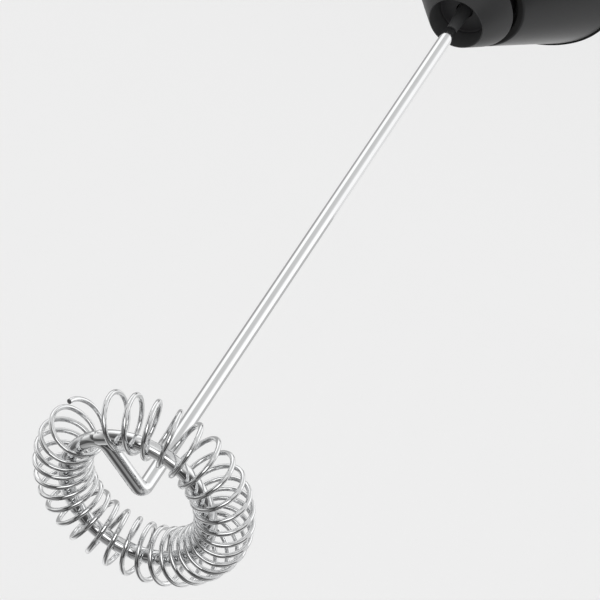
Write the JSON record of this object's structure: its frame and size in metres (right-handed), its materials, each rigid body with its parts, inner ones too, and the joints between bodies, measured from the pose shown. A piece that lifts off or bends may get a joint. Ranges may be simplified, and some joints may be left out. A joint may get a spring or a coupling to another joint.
{
  "type": "milk frother",
  "caption": "Hand-held battery milk frother: a motor in an oval handle spins a steel wire whisk whose ring carries a coil spring.",
  "frame": {"origin": "middle of the foot's resting face", "axes": "+Z from the foot to the whisk along the spin axis, +X across the wide side of the handle, -Y is the front with the button"},
  "size_m": [0.0368, 0.0308, 0.2028],
  "materials": {
    "whisk_steel": "bright drawn stainless wire",
    "spring_steel": "bright drawn stainless wire",
    "shaft_steel": "ground",
    "body_plastic": "dark grey moulding with a soft sheen",
    "black_plastic": "black moulding",
    "black_rubber": "matt",
    "frame_plastic": "as moulded",
    "white_plastic": "as moulded",
    "button_grey": "satin",
    "screw_steel": "zinc plated",
    "iron": "bare",
    "copper": "enamelled wire and copper",
    "brass": "bright",
    "cell": "plain wrapped cell",
    "lead_black": "insulated wire",
    "lead_red": "insulated wire"
  },
  "bodies": {
    "handle": {"nose_cap": "body_plastic", "front_cover": "body_plastic", "seal_ring": "black_rubber", "body_shell": "body_plastic", "foot_pad": "black_rubber", "chassis": "frame_plastic", "chassis_screws": "screw_steel", "motor_can": "screw_steel", "motor_magnets": "iron", "motor_end_bell": "white_plastic", "front_bushing": "brass", "rear_bushing": "brass", "motor_brushes": "copper", "motor_terminals": "brass", "motor_screws": "screw_steel", "battery_right": "cell", "battery_left": "cell", "contact_positive": "brass", "contact_negative": "brass", "bridge_contact": "brass", "lead_switch": "lead_black", "lead_motor": "lead_red", "switch_case": "black_plastic"},
    "whisk_drive": {"whisk_wire": "whisk_steel", "whisk_spring": "spring_steel", "drive_coupling": "black_plastic", "motor_shaft": "shaft_steel", "armature_core": "iron", "armature_windings": "copper", "commutator": "copper"},
    "button": {"switch_button": "button_grey", "switch_plunger": "white_plastic"},
    "battery_door": {"battery_cover": "body_plastic"}
  },
  "joints": [
    {"name": "whisk_spin", "type": "hinge", "parent": "handle", "child": "whisk_drive", "pos_m": [0, 0, 0.0605], "axis": [0, 0, 1], "continuous": true},
    {"name": "button_press", "type": "slide", "parent": "handle", "child": "button", "axis": [0, 1, 0], "range_m": [0, 0.001], "stiffness_N_per_m": 800, "springref_m": -0.001},
    {"name": "battery_cover_lift", "type": "slide", "parent": "handle", "child": "battery_door", "axis": [0, 1, 0], "range_m": [0, 0.03]}
  ]
}
